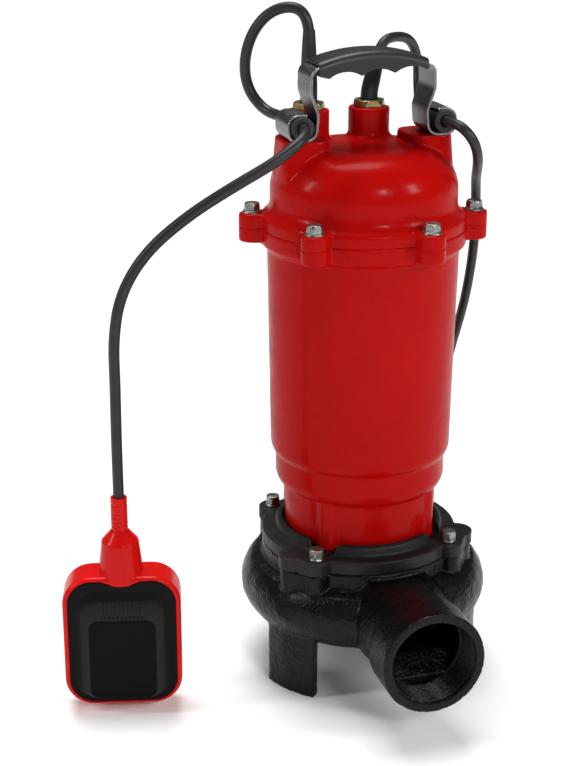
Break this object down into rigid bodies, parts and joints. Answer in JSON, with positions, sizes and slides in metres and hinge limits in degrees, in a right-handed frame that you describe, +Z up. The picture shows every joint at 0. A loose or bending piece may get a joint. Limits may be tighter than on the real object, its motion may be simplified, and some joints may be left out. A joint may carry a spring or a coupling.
{
  "type": "submersible sewage pump with float switch",
  "caption": "Submersible dirty-water pump: motor housing over a volute on legs, side discharge port, carry handle, float switch on its own cable, wound power cable with plug.",
  "frame": {"origin": "on the motor axis, level with the undersides of the three feet", "axes": "+Z up the motor shaft, -Y out of the discharge port, +X along the carry handle towards the power cable"},
  "size_m": [0.3285, 0.3402, 0.4742],
  "materials": {
    "red_enamel": "gloss enamel over a sand casting",
    "black_casting": "black semi-gloss paint over rough cast iron",
    "bare_casting": "bare grey cast iron",
    "bolt_steel": "zinc plated",
    "seal_rubber": "matte moulded rubber",
    "core_steel": "stacked silicon steel sheet",
    "winding_copper": "varnished copper wire",
    "cage_aluminium": "die cast",
    "shaft_steel": "ground steel",
    "bearing_steel": "polished bearing steel",
    "seal_ceramic": "lapped ceramic",
    "seal_steel": "pressed stainless steel",
    "capacitor_shell": "smooth moulded shell",
    "terminal_plastic": "moulded plastic",
    "brass": "turned brass",
    "bracket_steel": "brushed steel strip",
    "grip_plastic": "black moulded plastic",
    "cable_jacket": "smooth rubber jacket",
    "plug_rubber": "matte moulded rubber",
    "pin_brass": "nickel plated brass",
    "float_red": "glossy moulded plastic",
    "float_black": "glossy moulded plastic"
  },
  "bodies": {
    "pump": {"motor_housing": "red_enamel", "upper_cap": "red_enamel", "volute_casing": "black_casting", "oil_chamber_cover": "black_casting", "suction_plate": "black_casting", "upper_bearing_bracket": "bare_casting", "flange_bolts": "bolt_steel", "volute_bolts": "bolt_steel", "cover_screws": "bolt_steel", "suction_plate_screws": "bolt_steel", "handle_screws": "bolt_steel", "flange_seal": "seal_rubber", "volute_seal": "seal_rubber", "gland_rubbers": "seal_rubber", "cable_bushes": "seal_rubber", "power_sleeve": "seal_rubber", "float_sleeve": "seal_rubber", "stator_core": "core_steel", "stator_windings": "winding_copper", "lower_bearing_outer_race": "bearing_steel", "upper_bearing_outer_race": "bearing_steel", "seal_seats": "seal_ceramic", "run_capacitor": "capacitor_shell", "terminal_block": "terminal_plastic", "gland_nuts": "brass", "oil_plug": "brass", "handle_bracket_left": "bracket_steel", "handle_bracket_right": "bracket_steel", "handle_grip": "grip_plastic", "power_cord_loop": "cable_jacket", "power_cord_drop": "cable_jacket", "power_cord_coil": "cable_jacket", "power_cord_tail": "cable_jacket", "float_cord_loop": "cable_jacket", "float_cord_drop": "cable_jacket", "power_plug_body": "plug_rubber", "power_plug_pins": "pin_brass"},
    "rotor": {"rotor_core": "core_steel", "rotor_cage": "cage_aluminium", "rotor_shaft": "shaft_steel", "lower_bearing_inner_race": "bearing_steel", "upper_bearing_inner_race": "bearing_steel", "seal_head_pump_side": "seal_steel", "seal_head_motor_side": "seal_steel", "seal_spring": "seal_steel", "impeller": "bare_casting", "impeller_key": "bolt_steel", "impeller_nut": "bolt_steel"},
    "lower_balls": {"lower_bearing_balls": "bearing_steel"},
    "upper_balls": {"upper_bearing_balls": "bearing_steel"},
    "float": {"float_frame": "float_red", "float_face_front": "float_black", "float_face_back": "float_black", "float_collar": "float_red", "float_ball_track": "terminal_plastic", "float_switch": "terminal_plastic", "float_weight": "seal_steel", "float_cord_tail": "cable_jacket"},
    "switch_ball": {"float_ball": "bearing_steel"}
  },
  "joints": [
    {"name": "rotor_spin", "type": "hinge", "parent": "pump", "child": "rotor", "pos_m": [0, 0, 0.2], "axis": [0, 0, 1], "continuous": true},
    {"name": "lower_balls_spin", "type": "hinge", "parent": "pump", "child": "lower_balls", "pos_m": [0, 0, 0.159], "axis": [0, 0, 1], "continuous": true},
    {"name": "upper_balls_spin", "type": "hinge", "parent": "pump", "child": "upper_balls", "pos_m": [0, 0, 0.3055], "axis": [0, 0, 1], "continuous": true},
    {"name": "float_tilt", "type": "hinge", "parent": "pump", "child": "float", "pos_m": [-0.181, -0.0275, 0.205], "axis": [0.23, 0.9732, 0], "range_deg": [0, 100]},
    {"name": "switch_ball_roll", "type": "slide", "parent": "float", "child": "switch_ball", "axis": [0, 0, 1], "range_m": [0, 0.026]}
  ],
  "couplings": [
    {"joint": "lower_balls_spin", "follows": "rotor_spin", "ratio": 0.3791},
    {"joint": "upper_balls_spin", "follows": "rotor_spin", "ratio": 0.38}
  ]
}
